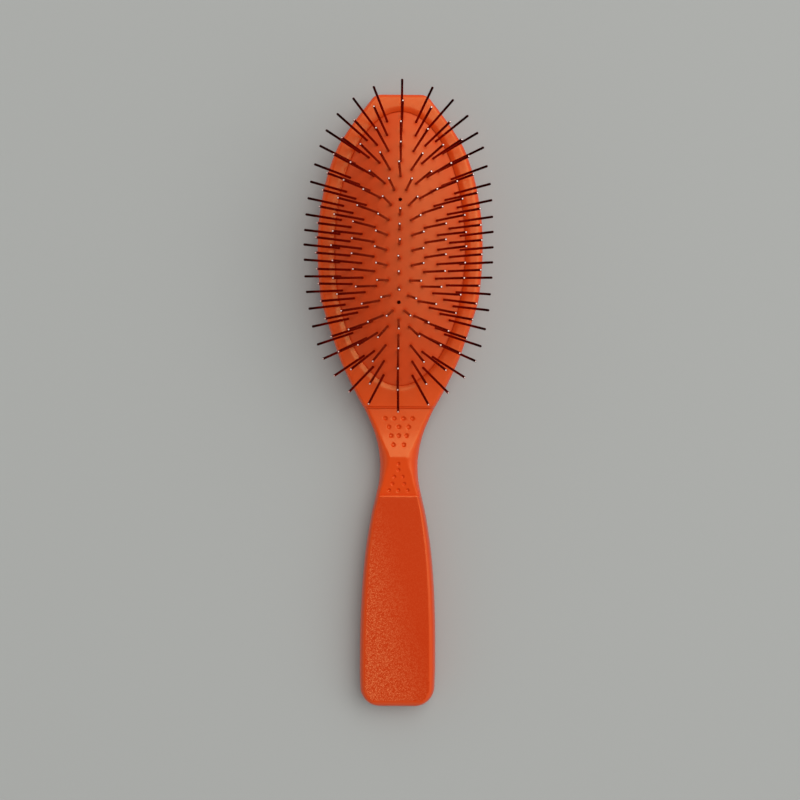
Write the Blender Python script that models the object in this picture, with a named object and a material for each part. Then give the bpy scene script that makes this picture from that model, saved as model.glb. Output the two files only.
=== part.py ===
"""Oval pin brush: a one-piece moulded handle and head, a domed rubber cushion and steel pins.

The brush lies on its back with the pins up. X runs across the head, Y runs from the butt of
the handle towards the end of the head, and Z is up, all in metres. The origin is under the
middle of the whole brush, on the surface that it lies on.

The feature that takes the most skill is the pin field: eleven curved columns of pins that
lean out like the surface of a dome, each pin standing on a strip of backing ply under the
rubber and coming up through its own hole in the rubber.
"""
import math

import bmesh
import bpy
from mathutils import Vector
from mathutils.geometry import delaunay_2d_cdt

# Lengths of the moulding, from the butt of the handle to the end of the head
GRIP_LENGTH = 0.0779
NECK_LENGTH = 0.0317
LEDGE_RUN = 0.0011
HEAD_LENGTH = 0.1143

# Widths of the moulding, seen from the pin side
GRIP_WIDTH = 0.0279
WAIST_WIDTH = 0.0139
HEAD_WIDTH = 0.0610
HEAD_END_FLAT = 0.0160
BUTT_CORNER = 0.0070
HEAD_CORNER = 0.0035
HEAD_CORNER_DEPTH = 0.0012

# Heights of the front face above the surface that the brush lies on
BUTT_HEIGHT = 0.0112
GRIP_HEIGHT = 0.0122
GRIP_STEP_HEIGHT = 0.0116
STEP_FOOT_HEIGHT = 0.0107
RIDGE_HEIGHT = 0.0122
SCOOP_MIDDLE_HEIGHT = 0.0106
SCOOP_HEIGHT = 0.0100
SHELF_HEIGHT = 0.0111
HEAD_HEIGHT = 0.0120

# Heights of the back face, of the widest level, and the roundings
NECK_ARCH = 0.0012
HEAD_END_LIFT = 0.0012
GRIP_MID_LEVEL = 0.0058
NECK_MID_LEVEL = 0.0062
HEAD_MID_LEVEL = 0.0075
BUTT_ROUND = 0.0030
HEAD_END_ROUND = 0.0025
STEP_RUN = 0.0003

# The opening in the head, its sloping rim, and the groove that holds the rubber. Its centre
# is a share of the head's length
HEAD_CENTRE_SHARE = 0.505
OPENING_WIDTH = 0.0480
OPENING_LENGTH = 0.1006
RIM_SLOPE_RUN = 0.0022
RIM_EDGE_DROP = 0.0017
GROOVE_DEPTH = 0.0016
CHAMBER_FLOOR = 0.0030
CUT_OVERRUN = 0.0040

# The rubber cushion
RUBBER_THICKNESS = 0.0016
RUBBER_EDGE_HEIGHT = 0.0092
CROWN_RISE = 0.0080
CROWN_SIDE_POWER_SHARE = 1.7
CROWN_END_POWER_SHARE = 3.3
FIT_GAP = 0.0003

# The steel pins and the ply strips that carry them
PIN_DIAMETER = 0.0009
PIN_LENGTH = 0.0230
PIN_TIP_LENGTH = 0.0005
PIN_TIP_SHARE = 0.4
PIN_SIDE_LEAN_SHARE = 0.476
PIN_END_LEAN_SHARE = 0.444
PIN_END_LEAN_POWER_SHARE = 2.1
LEAN_REACH_SHARE = 0.877
PLY_THICKNESS = 0.0008
STRIP_HALF_WIDTH = 0.0008
STRIP_END = 0.0012
STRIPS_A_COLUMN = 4
VENT_DIAMETER = 0.0012

# The pin field, as shares of the opening's half width: each column's place across the head at
# the middle of the brush, and at the two ends of its evenly spaced middle rows
COLUMN_MIDDLE_SHARES = (0.0, 0.200, 0.398, 0.589, 0.769, 0.932)
COLUMN_ROW_END_SHARES = (0.0, 0.091, 0.238, 0.408, 0.569, 0.710)

# How far the middle rows of each column reach to either side of their own middle, and how far
# that middle lies towards the handle, as shares of the opening's half length
ROW_END_SHARES = (0.371, 0.437, 0.478, 0.526, 0.568, 0.617)
ROW_SHIFT_SHARES = (0.022, 0.016, 0.011, 0.007, 0.006, 0.003)
MIDDLE_PINS = 8

# The fans of pins at the two ends, a row at a time from the outermost: shares of the half
# width across, and of the half length along
FAN_ACROSS_SHARES = ((0.0, 0.222, 0.385, 0.529, 0.637),
                     (0.0, 0.218, 0.369, 0.491),
                     (0.0, 0.192, 0.326),
                     (0.0, 0.166),
                     (0.0,))
FAN_ALONG_SHARES = ((0.962, 0.925, 0.866, 0.786, 0.698),
                    (0.852, 0.822, 0.749, 0.656),
                    (0.742, 0.705, 0.617),
                    (0.631, 0.569),
                    (0.521,))

# The dimples under the thumb, a row at a time: share of the neck's length, then the places
# across as shares of the waist's half width
DIMPLE_ROW_SHARES = (
    (0.890, (-0.715, -0.239, 0.239, 0.715)),
    (0.792, (-0.521, 0.0, 0.521)),
    (0.691, (-0.409, 0.0, 0.409)),
    (0.587, (-0.274, 0.274)),
    (0.369, (0.0,)),
    (0.298, (0.0,)),
    (0.219, (-0.223, 0.223)),
    (0.136, (-0.308, 0.308)),
    (0.060, (-0.489, 0.0, 0.489)),
)
DIMPLE_DIAMETER = 0.0016
DIMPLE_DEPTH = 0.0005
DIMPLE_FLOOR_SHARE = 0.45
DIMPLE_FLARE_SHARE = 1.35

# How many points round things are made of
GRIP_SECTIONS = 10
NECK_SECTIONS = 9
SECTIONS_BELOW_RIDGE = 4
HEAD_SECTIONS = 24
BUTT_SECTIONS = 5
HEAD_END_SECTIONS = 4
OVAL_POINTS = 48
FRONT_ROUND_POINTS = 3
BACK_ROUND_POINTS = 4
DIMPLE_SIDES = 8
FLANGE_POINTS = 44
SQUARE_POINTS = 4
MERGE_DISTANCE = 1e-7

OVERALL_LENGTH = GRIP_LENGTH + NECK_LENGTH + LEDGE_RUN + HEAD_LENGTH
NECK_START = GRIP_LENGTH
LEDGE_FOOT = GRIP_LENGTH + NECK_LENGTH
HEAD_START = LEDGE_FOOT + LEDGE_RUN


def along_grip(share):
    """Distance from the butt of a place along the grip."""
    return share * GRIP_LENGTH


def along_neck(share):
    """Distance from the butt of a place along the neck."""
    return NECK_START + share * NECK_LENGTH


def along_head(share):
    """Distance from the butt of a place along the head."""
    return HEAD_START + share * HEAD_LENGTH


def smooth_through(points, place):
    """Value at a place of a smooth curve through (place, value) points, held at its ends."""
    if place <= points[0][0]:
        return points[0][1]
    if place >= points[-1][0]:
        return points[-1][1]
    slopes = [0.0]
    for before, here, after in zip(points, points[1:], points[2:]):
        left = (here[1] - before[1]) / (here[0] - before[0])
        right = (after[1] - here[1]) / (after[0] - here[0])
        slopes.append(0.0 if left * right <= 0.0 else 2.0 * left * right / (left + right))
    slopes.append((points[-1][1] - points[-2][1]) / (points[-1][0] - points[-2][0]))
    slopes[0] = (points[1][1] - points[0][1]) / (points[1][0] - points[0][0])
    for index in range(len(points) - 1):
        start, end = points[index], points[index + 1]
        if place <= end[0]:
            span = end[0] - start[0]
            t = (place - start[0]) / span
            return (start[1] * (1 + 2 * t) * (1 - t) ** 2 + end[1] * t * t * (3 - 2 * t)
                    + span * slopes[index] * t * (1 - t) ** 2
                    - span * slopes[index + 1] * t * t * (1 - t))


HEAD_CENTRE_FROM_BUTT = along_head(HEAD_CENTRE_SHARE)

# Half widths as shares of each stretch's own width, against shares of its length
GRIP_OUTLINE_SHARES = ((0.090, 0.984), (0.186, 1.0), (0.329, 0.996), (0.5, 0.968),
                       (0.707, 0.882), (0.902, 0.717), (1.0, 0.593))
NECK_OUTLINE_SHARES = ((0.189, 1.03), (0.341, 1.0), (0.498, 1.065), (0.685, 1.259),
                       (0.883, 1.61), (1.0, 1.856))
HEAD_OUTLINE_SHARES = ((0.0, 0.446), (0.082, 0.607), (0.150, 0.721), (0.202, 0.790),
                       (0.262, 0.866), (0.360, 0.964), (0.502, 1.0), (0.573, 0.993),
                       (0.672, 0.944), (0.738, 0.889), (0.829, 0.769), (0.867, 0.685),
                       (0.922, 0.544))

OUTLINE = (
    [(along_grip(share), width * GRIP_WIDTH / 2) for share, width in GRIP_OUTLINE_SHARES]
    + [(along_neck(share), width * WAIST_WIDTH / 2) for share, width in NECK_OUTLINE_SHARES]
    + [(along_head(share), width * HEAD_WIDTH / 2) for share, width in HEAD_OUTLINE_SHARES]
    + [(OVERALL_LENGTH - HEAD_CORNER_DEPTH,
        HEAD_END_FLAT / 2 + math.sqrt(HEAD_CORNER ** 2 - (HEAD_CORNER - HEAD_CORNER_DEPTH) ** 2))]
)

FRONT_GRIP = [(0.0, BUTT_HEIGHT), (along_grip(0.45), GRIP_HEIGHT),
              (along_grip(1.0), GRIP_STEP_HEIGHT)]

# The front of the neck rises straight from the step to a sharp ridge, and behind the ridge it
# falls into the hollow for the thumb
RIDGE_PLACE = along_neck(SECTIONS_BELOW_RIDGE / NECK_SECTIONS)
NECK_SLOPE = [(NECK_START, STEP_FOOT_HEIGHT), (RIDGE_PLACE, RIDGE_HEIGHT)]
THUMB_HOLLOW = [(RIDGE_PLACE, RIDGE_HEIGHT), (along_neck(0.72), SCOOP_MIDDLE_HEIGHT),
                (LEDGE_FOOT, SCOOP_HEIGHT)]
BACK = [(along_grip(0.0), 0.0), (along_grip(0.9), 0.0), (along_neck(0.5), NECK_ARCH),
        (along_head(0.14), 0.0), (along_head(0.84), 0.0), (along_head(1.0), HEAD_END_LIFT)]
MID_LEVEL = [(along_grip(0.8), GRIP_MID_LEVEL), (along_neck(0.4), NECK_MID_LEVEL),
             (along_head(0.15), HEAD_MID_LEVEL)]

# How much of the half width is the flat of the front face, and of the back face
FRONT_FLAT_SHARES = [(along_grip(0.0), 0.72), (along_grip(0.1), 0.80), (along_grip(0.9), 0.80),
                     (along_neck(0.0), 0.80), (along_neck(0.22), 0.68), (along_neck(0.44), 0.42),
                     (along_neck(0.57), 0.62), (along_neck(0.72), 0.78), (along_neck(1.0), 0.86),
                     (along_head(0.2), 0.92), (along_head(0.88), 0.90), (along_head(1.0), 0.80)]
BACK_FLAT_SHARES = [(along_grip(0.0), 0.36), (along_grip(1.0), 0.36), (along_neck(0.5), 0.30),
                    (along_head(0.1), 0.45), (along_head(1.0), 0.45)]

# Shape of the front corner: under 1 it is square and full, towards 2 it is a straight bevel
FRONT_CORNER_SHARES = [(along_grip(0.0), 0.8), (along_grip(0.9), 0.8), (along_neck(0.2), 1.3),
                       (along_neck(0.8), 1.3), (along_head(0.1), 0.75), (along_head(1.0), 0.75)]


def half_width(place):
    """Half width of the moulding at a distance from the butt."""
    from_end = OVERALL_LENGTH - place
    if place < BUTT_CORNER:
        full = smooth_through(OUTLINE, BUTT_CORNER)
        return full - BUTT_CORNER + math.sqrt(BUTT_CORNER ** 2 - (BUTT_CORNER - place) ** 2)
    if from_end < HEAD_CORNER_DEPTH:
        return HEAD_END_FLAT / 2 + math.sqrt(HEAD_CORNER ** 2 - (HEAD_CORNER - from_end) ** 2)
    return smooth_through(OUTLINE, place)


def end_round(place):
    """How far the front and back faces draw in towards the two rounded ends."""
    for radius, reach in ((BUTT_ROUND, place), (HEAD_END_ROUND, OVERALL_LENGTH - place)):
        if reach < radius:
            return radius - math.sqrt(radius ** 2 - (radius - reach) ** 2)
    return 0.0


def neck_height(place):
    """Height of the front of the neck, on either side of its ridge."""
    return smooth_through(NECK_SLOPE if place < RIDGE_PLACE else THUMB_HOLLOW, place)


def front_height(place, beyond):
    """Height of the front face; beyond picks the far side of a step."""
    if place < NECK_START or (place == NECK_START and not beyond):
        return smooth_through(FRONT_GRIP, place)
    if place < LEDGE_FOOT or (place == LEDGE_FOOT and not beyond):
        return neck_height(place)
    if place < HEAD_START or (place == HEAD_START and not beyond):
        return SHELF_HEIGHT
    return HEAD_HEIGHT


def section_points(place, beyond):
    """One closed section of the moulding, from the left of the back face round to the right."""
    draw_in = end_round(place)
    wide = half_width(place)
    front = front_height(place, beyond) - draw_in
    back = smooth_through(BACK, place) + draw_in
    level = smooth_through(MID_LEVEL, place)
    front_flat = wide * smooth_through(FRONT_FLAT_SHARES, place)
    back_flat = wide * smooth_through(BACK_FLAT_SHARES, place)
    corner = smooth_through(FRONT_CORNER_SHARES, place)
    right = []
    for index in range(BACK_ROUND_POINTS + 1):
        turn = math.pi / 2 * index / BACK_ROUND_POINTS
        right.append((back_flat + (wide - back_flat) * math.sin(turn),
                      level - (level - back) * math.cos(turn)))
    for index in range(1, FRONT_ROUND_POINTS + 1):
        turn = math.pi / 2 * index / FRONT_ROUND_POINTS
        cosine = max(math.cos(turn), 0.0)
        right.append((front_flat + (wide - front_flat) * cosine ** corner,
                      level + (front - level) * math.sin(turn) ** corner))
    left = [(-across, up) for across, up in reversed(right)]
    return right + left


def station_places():
    """Distances from the butt of the loft's sections; a step has one on each side of it."""
    places = []
    for index in range(BUTT_SECTIONS):
        turn = math.pi / 2 * index / BUTT_SECTIONS
        places.append((BUTT_CORNER * (1 - math.cos(turn)), True))
    places += [(along_grip(index / GRIP_SECTIONS), True) for index in range(1, GRIP_SECTIONS)]
    places += [(NECK_START - STEP_RUN, False), (NECK_START, True)]
    places += [(along_neck(index / NECK_SECTIONS), True) for index in range(1, NECK_SECTIONS)]
    places += [(LEDGE_FOOT, False), (LEDGE_FOOT + STEP_RUN, True)]
    places += [(HEAD_START - STEP_RUN, False), (HEAD_START, True)]
    places += [(along_head(index / HEAD_SECTIONS), True) for index in range(1, HEAD_SECTIONS - 1)]
    for index in range(HEAD_END_SECTIONS + 1):
        depth = HEAD_END_ROUND * (1 - math.sin(math.pi / 2 * index / HEAD_END_SECTIONS))
        places.append((OVERALL_LENGTH - depth, True))
    return places


def to_y(place):
    """Y of a distance from the butt, before the brush is centred on the origin."""
    return place - HEAD_CENTRE_FROM_BUTT


def new_object(name, mesh_source, collection, material=None):
    """Make an object of a bmesh, with its material, in a collection."""
    mesh = bpy.data.meshes.new(name)
    bmesh.ops.recalc_face_normals(mesh_source, faces=mesh_source.faces)
    mesh_source.to_mesh(mesh)
    mesh_source.free()
    obj = bpy.data.objects.new(name, mesh)
    collection.objects.link(obj)
    if material:
        mesh.materials.append(material)
    mesh.shade_smooth()
    mesh.set_sharp_from_angle(angle=math.radians(35))
    return obj


def bridge(bm, first, second):
    """Join two closed rows of points with four-sided faces."""
    for index in range(len(first)):
        after = (index + 1) % len(first)
        bm.faces.new((first[index], first[after], second[after], second[index]))


def loft(bm, rings):
    """Skin closed rings of equal point counts and cap the two ends."""
    loops = [[bm.verts.new(point) for point in ring] for ring in rings]
    for lower, upper in zip(loops, loops[1:]):
        bridge(bm, lower, upper)
    bm.faces.new(list(reversed(loops[0])))
    bm.faces.new(loops[-1])


def cut(target, cutter, name):
    """Cut one object out of another with a Boolean modifier."""
    modifier = target.modifiers.new(name, "BOOLEAN")
    modifier.operation = "DIFFERENCE"
    modifier.solver = "EXACT"
    modifier.object = cutter
    cutter.hide_render = True
    cutter.display_type = "WIRE"


def oval_ring(grow, height, points=OVAL_POINTS):
    """An oval a fixed distance larger than the opening, about the head's centre."""
    across = OPENING_WIDTH / 2 + grow
    along = OPENING_LENGTH / 2 + grow
    ring = []
    for index in range(points):
        turn = 2 * math.pi * index / points
        ring.append((across * math.cos(turn), along * math.sin(turn), height))
    return ring


def make_opening_cutter(collection):
    """The rim's slope, the opening, the groove for the rubber and the air chamber, as one cutter."""
    slope_rise = RIM_EDGE_DROP / RIM_SLOPE_RUN
    groove_top = RUBBER_EDGE_HEIGHT + FIT_GAP
    groove_bottom = RUBBER_EDGE_HEIGHT - RUBBER_THICKNESS - FIT_GAP
    rings = [
        oval_ring(RIM_SLOPE_RUN + CUT_OVERRUN, HEAD_HEIGHT + CUT_OVERRUN * slope_rise),
        oval_ring(0.0, HEAD_HEIGHT - RIM_EDGE_DROP),
        oval_ring(0.0, groove_top),
        oval_ring(GROOVE_DEPTH, groove_top),
        oval_ring(GROOVE_DEPTH, groove_bottom),
        oval_ring(0.0, groove_bottom),
        oval_ring(0.0, CHAMBER_FLOOR),
    ]
    bm = bmesh.new()
    loft(bm, rings)
    return new_object("opening_cutter", bm, collection)


def make_dimple_cutter(collection):
    """Shallow round dimples for the thumb, in rows on the two faces of the neck."""
    bm = bmesh.new()
    radius = DIMPLE_DIAMETER / 2
    for place_share, across_shares in DIMPLE_ROW_SHARES:
        place = along_neck(place_share)
        face = neck_height(place)
        rise = (neck_height(place + radius) - neck_height(place - radius)) / DIMPLE_DIAMETER
        for across_share in across_shares:
            across = across_share * WAIST_WIDTH / 2
            rings = []
            for height, spread in ((-DIMPLE_DEPTH, DIMPLE_FLOOR_SHARE), (0.0, 1.0),
                                   (DIMPLE_DEPTH, DIMPLE_FLARE_SHARE)):
                ring = []
                for index in range(DIMPLE_SIDES):
                    turn = 2 * math.pi * (index + 0.5) / DIMPLE_SIDES
                    forward = spread * radius * math.sin(turn)
                    ring.append((across + spread * radius * math.cos(turn),
                                 to_y(place) + forward, face + height + rise * forward))
                rings.append(ring)
            loft(bm, rings)
    return new_object("dimple_cutter", bm, collection)


def make_handle(collection, cutters, material):
    """The one-piece moulding: grip, neck and head, with its opening and its dimples cut."""
    bm = bmesh.new()
    rings = [[(across, to_y(place), up) for across, up in section_points(place, beyond)]
             for place, beyond in station_places()]
    loft(bm, rings)
    handle = new_object("handle_body", bm, collection, material)
    cut(handle, make_opening_cutter(cutters), "opening")
    cut(handle, make_dimple_cutter(cutters), "dimples")
    return handle


def dome_height(across, along):
    """Height of the rubber's upper surface: a long crown that falls to the rim of the opening."""
    share_across = across / (OPENING_WIDTH / 2)
    share_along = along / (OPENING_LENGTH / 2)
    radius = math.hypot(share_across, share_along)
    if radius == 0.0:
        return RUBBER_EDGE_HEIGHT + CROWN_RISE
    if radius >= 1.0:
        return RUBBER_EDGE_HEIGHT
    power = (CROWN_SIDE_POWER_SHARE * share_across ** 2
             + CROWN_END_POWER_SHARE * share_along ** 2) / radius ** 2
    return RUBBER_EDGE_HEIGHT + CROWN_RISE * (1 - radius ** power)


def pin_direction(across, along):
    """Direction of a pin: upright in the middle, leaning outwards towards every side."""
    reach = min(abs(across) / (LEAN_REACH_SHARE * OPENING_WIDTH / 2), 1.0)
    lean_across = math.copysign(PIN_SIDE_LEAN_SHARE * math.sin(math.pi / 2 * reach), across)
    end_reach = abs(along) / (FAN_ALONG_SHARES[0][0] * OPENING_LENGTH / 2)
    lean_along = math.copysign(PIN_END_LEAN_SHARE * end_reach ** PIN_END_LEAN_POWER_SHARE, along)
    upright = math.sqrt(1 - lean_across ** 2 - lean_along ** 2)
    return Vector((lean_across, lean_along, upright))


def under_surface(across, along, depth):
    """Point a given depth under the rubber's upper surface, measured along the pins there."""
    surface = Vector((across, along, dome_height(across, along)))
    return surface - depth * pin_direction(across, along)


def vent_places():
    """The two small breathing holes on the centre line, each in the place of a pin."""
    return [(0.0, (end_share - ROW_SHIFT_SHARES[0]) * OPENING_LENGTH / 2)
            for end_share in (ROW_END_SHARES[0], -ROW_END_SHARES[0])]


def column_places(column):
    """Places of the pins of one column, from the head's end of the brush to the neck."""
    half_across = OPENING_WIDTH / 2
    half_along = OPENING_LENGTH / 2
    index = abs(column)
    side = math.copysign(1.0, column)
    fan = []
    for across_row, along_row in zip(FAN_ACROSS_SHARES, FAN_ALONG_SHARES):
        if index < len(across_row):
            fan.append((side * across_row[index] * half_across, along_row[index] * half_along))
    middle = []
    last = MIDDLE_PINS + index - 1
    for row in range(last + 1):
        travel = 1 - 2 * row / last
        across_share = (COLUMN_MIDDLE_SHARES[index]
                        + (COLUMN_ROW_END_SHARES[index] - COLUMN_MIDDLE_SHARES[index]) * travel ** 2)
        middle.append((side * across_share * half_across,
                       (travel * ROW_END_SHARES[index] - ROW_SHIFT_SHARES[index]) * half_along))
    if index == 0:
        middle = middle[1:-1]
    return fan + middle + [(across, -along) for across, along in reversed(fan)]


def square_round(across, along, half_diagonal):
    """Corners of a small square on its point, about a place in the pattern."""
    return [(across + half_diagonal, along), (across, along + half_diagonal),
            (across - half_diagonal, along), (across, along - half_diagonal)]


def inside_square(point, place, half_diagonal):
    """Whether a point is inside a small square that stands on its point."""
    return abs(point.x - place[0]) + abs(point.y - place[1]) < half_diagonal


def triangulate(outline, squares):
    """Flat triangles that fill an outline and leave out the squares, and the points they use.

    The points of the outline come first, in its order, and then four for each square.
    """
    points = []
    edges = []
    for loop in [outline] + [square_round(*place, size) for place, size in squares]:
        first = len(points)
        points += [Vector(point) for point in loop]
        edges += [(first + index, first + (index + 1) % len(loop)) for index in range(len(loop))]
    verts, _, faces, _, _, _ = delaunay_2d_cdt(points, edges, [], 1, MERGE_DISTANCE)
    kept = []
    for face in faces:
        middle = sum((verts[index] for index in face), Vector((0.0, 0.0))) / len(face)
        if not any(inside_square(middle, place, size) for place, size in squares):
            kept.append(face)
    return verts, kept


def square_corners(outline_count, number):
    """Indices of the four corners of a square in a filled outline."""
    first = outline_count + number * SQUARE_POINTS
    return list(range(first, first + SQUARE_POINTS))


def make_cushion(columns, collection, material):
    """The domed rubber sheet, with its edge flange, a hole for every pin and two vents."""
    hole = PIN_DIAMETER / 2 + FIT_GAP * math.sqrt(2)
    squares = [(place, hole) for column in columns for place in column]
    squares += [(place, VENT_DIAMETER / 2) for place in vent_places()]
    rim = [(across, along) for across, along, _ in oval_ring(-FIT_GAP, 0.0, FLANGE_POINTS)]
    verts, faces = triangulate(rim, squares)
    bm = bmesh.new()
    top = [bm.verts.new(under_surface(point.x, point.y, 0.0)) for point in verts]
    bottom = [bm.verts.new(under_surface(point.x, point.y, RUBBER_THICKNESS)) for point in verts]
    for face in faces:
        bm.faces.new([top[index] for index in face])
        bm.faces.new([bottom[index] for index in reversed(face)])
    for number in range(len(squares)):
        corners = square_corners(len(rim), number)
        bridge(bm, [top[index] for index in corners], [bottom[index] for index in corners])
    flange = [[bm.verts.new(point) for point in oval_ring(GROOVE_DEPTH - FIT_GAP, height, FLANGE_POINTS)]
              for height in (RUBBER_EDGE_HEIGHT, RUBBER_EDGE_HEIGHT - RUBBER_THICKNESS)]
    bridge(bm, top[:len(rim)], flange[0])
    bridge(bm, flange[0], flange[1])
    bridge(bm, flange[1], bottom[:len(rim)])
    return new_object("rubber_cushion", bm, collection, material)


def strip_outline(places):
    """Outline of the strip of ply under a few pins of a column, following their curve."""
    ahead = (Vector(places[0]) - Vector(places[1])).normalized()
    behind = (Vector(places[-1]) - Vector(places[-2])).normalized()
    line = [Vector(places[0]) + STRIP_END * ahead]
    line += [Vector(place) for place in places[1:-1]]
    line += [Vector(places[-1]) + STRIP_END * behind]
    left = [(point.x - STRIP_HALF_WIDTH, point.y) for point in line]
    right = [(point.x + STRIP_HALF_WIDTH, point.y) for point in reversed(line)]
    return left + right


def make_strip(name, places, collection, material):
    """A strip of ply with its pins, each pin raised from its own square in the strip."""
    outline = strip_outline(places)
    radius = PIN_DIAMETER / 2
    verts, faces = triangulate(outline, [(place, radius) for place in places])
    top_depth = RUBBER_THICKNESS + FIT_GAP
    bm = bmesh.new()
    top = [bm.verts.new(under_surface(point.x, point.y, top_depth)) for point in verts]
    for face in faces:
        bm.faces.new([top[index] for index in face])
    under = [bm.verts.new(under_surface(across, along, top_depth + PLY_THICKNESS))
             for across, along in outline]
    bridge(bm, top[:len(outline)], under)
    for index in range(len(outline) // 2 - 1):
        bm.faces.new((under[index], under[index + 1], under[-2 - index], under[-1 - index]))
    for number, place in enumerate(places):
        corners = square_corners(len(outline), number)
        add_pin(bm, place, radius, [top[index] for index in corners])
    return new_object(name, bm, collection, material)


def add_pin(bm, place, radius, root):
    """Raise one pin from its square in the strip: a straight shaft and a rounded tip."""
    surface = under_surface(*place, 0.0)
    direction = pin_direction(*place)
    across = Vector((0.0, 1.0, 0.0)).cross(direction).normalized()
    along = direction.cross(across)
    lower = root
    for reach, size in ((PIN_LENGTH - PIN_TIP_LENGTH, radius), (PIN_LENGTH, radius * PIN_TIP_SHARE)):
        middle = surface + reach * direction
        upper = [bm.verts.new(middle + size * turned) for turned in (across, along, -across, -along)]
        bridge(bm, lower, upper)
        lower = upper
    bm.faces.new(lower)


def share_out(places, count):
    """Share the pins of a column out over a number of strips, as evenly as they go."""
    bounds = [round(len(places) * index / count) for index in range(count + 1)]
    return [places[start:end] for start, end in zip(bounds, bounds[1:])]


def make_material(name, colour, roughness, metallic=0.0):
    """A Principled material of one colour."""
    material = bpy.data.materials.new(name)
    material.use_nodes = True
    shader = material.node_tree.nodes["Principled BSDF"]
    shader.inputs["Base Color"].default_value = (*colour, 1.0)
    shader.inputs["Roughness"].default_value = roughness
    shader.inputs["Metallic"].default_value = metallic
    material.diffuse_color = (*colour, 1.0)
    return material


def new_collection(name):
    """A collection in the scene."""
    collection = bpy.data.collections.new(name)
    bpy.context.scene.collection.children.link(collection)
    return collection


def centre_on_origin(objects, cutters):
    """Move the whole brush so that its middle is over the origin."""
    along = [vertex.co.y for obj in objects for vertex in obj.data.vertices]
    shift = -(min(along) + max(along)) / 2
    for obj in objects + cutters:
        obj.location.y += shift
    return shift


def main():
    for obj in list(bpy.data.objects):
        bpy.data.objects.remove(obj, do_unlink=True)
    brush = new_collection("pin_brush")
    cutters = new_collection("cutters")
    plastic = make_material("moulded_orange_plastic", (0.55, 0.07, 0.012), 0.42)
    rubber = make_material("orange_rubber", (0.48, 0.06, 0.014), 0.6)
    steel = make_material("dark_steel", (0.05, 0.035, 0.03), 0.3, 1.0)
    columns = [column_places(column) for column in range(-5, 6)]
    make_handle(brush, cutters, plastic)
    make_cushion(columns, brush, rubber)
    for number, places in enumerate(columns, start=1):
        for part, group in enumerate(share_out(places, STRIPS_A_COLUMN), start=1):
            make_strip(f"pin_strip_{number:02d}_{part}", group, brush, steel)
    shift = centre_on_origin(list(brush.objects), list(cutters.objects))
    print("pins", sum(len(places) for places in columns))
    print("centre of the head at y", round(shift, 6))


main()
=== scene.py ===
# %% [markdown]
# # Oval pin brush
# This script dresses the imported model of a hair brush: an orange moulded handle and head, a
# domed rubber cushion, and steel pins with rounded tips. The imported model is a fixed frame.
# Each piece below takes the place of pieces of the frame, which are hidden, and the moulding
# and the pins ride on the frame's bodies.

# %% Load the frame
import math
import random

import bmesh
import bpy
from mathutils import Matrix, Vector


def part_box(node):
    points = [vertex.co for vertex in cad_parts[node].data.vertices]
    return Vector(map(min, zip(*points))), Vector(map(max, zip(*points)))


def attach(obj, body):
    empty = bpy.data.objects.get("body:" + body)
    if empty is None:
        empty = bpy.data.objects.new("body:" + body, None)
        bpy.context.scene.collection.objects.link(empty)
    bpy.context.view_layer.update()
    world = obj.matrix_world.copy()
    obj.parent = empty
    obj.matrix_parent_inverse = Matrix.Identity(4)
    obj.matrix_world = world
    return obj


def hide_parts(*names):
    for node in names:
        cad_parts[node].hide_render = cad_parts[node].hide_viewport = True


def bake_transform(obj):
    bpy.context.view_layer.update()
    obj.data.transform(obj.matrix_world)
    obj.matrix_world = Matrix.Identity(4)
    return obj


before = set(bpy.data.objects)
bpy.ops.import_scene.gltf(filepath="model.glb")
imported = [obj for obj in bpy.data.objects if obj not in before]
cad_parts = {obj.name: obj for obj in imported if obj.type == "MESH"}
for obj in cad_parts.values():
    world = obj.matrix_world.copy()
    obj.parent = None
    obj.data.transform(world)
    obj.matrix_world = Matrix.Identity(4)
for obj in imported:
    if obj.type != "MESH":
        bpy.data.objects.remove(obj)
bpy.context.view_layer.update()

MM = 0.001

# %% [markdown]
# Colours are written as the sRGB hex values that a paint chart or a photograph shows. Blender's
# shaders work in linear light, so one function turns the first into the second.

# %% A colour helper and a node helper
def linear(hex_colour):
    """Linear RGBA of an sRGB hex colour such as #C8431B."""
    channels = [int(hex_colour[start:start + 2], 16) / 255 for start in (1, 3, 5)]
    return [c / 12.92 if c <= 0.04045 else ((c + 0.055) / 1.055) ** 2.4 for c in channels] + [1.0]


def add_node(tree, kind, settings=None, inputs=None, links=None):
    """Add one node, set its properties and sockets, and link sockets of other nodes into it."""
    node = tree.nodes.new(kind)
    for name, value in (settings or {}).items():
        setattr(node, name, value)
    for name, value in (inputs or {}).items():
        node.inputs[name].default_value = value
    for name, output in (links or {}).items():
        tree.links.new(output, node.inputs[name])
    return node


# %% [markdown]
# The photograph looks straight down on the brush from a little over half a metre. The pins
# show this: their tips, which are nearer, stand further out than they would in a flat view.
# They also show that the picture is cropped: the tips spread from a point above and to the
# right of the picture's middle, so the camera stands there and its lens is shifted back. The
# brush lies turned by a little over a third of a degree, so the camera turns by as much the
# other way.

# %% The camera
FRAME_WIDTH = 295.4 * MM
CAMERA_DISTANCE = 545 * MM
OUTLINE_LEVEL = 7.5 * MM
MIDDLE_X, MIDDLE_Y = 0.3 * MM, -0.86 * MM
CROP_X, CROP_Y = 14.0 * MM, 28.0 * MM
CAMERA_TURN = math.radians(0.38)

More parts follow.
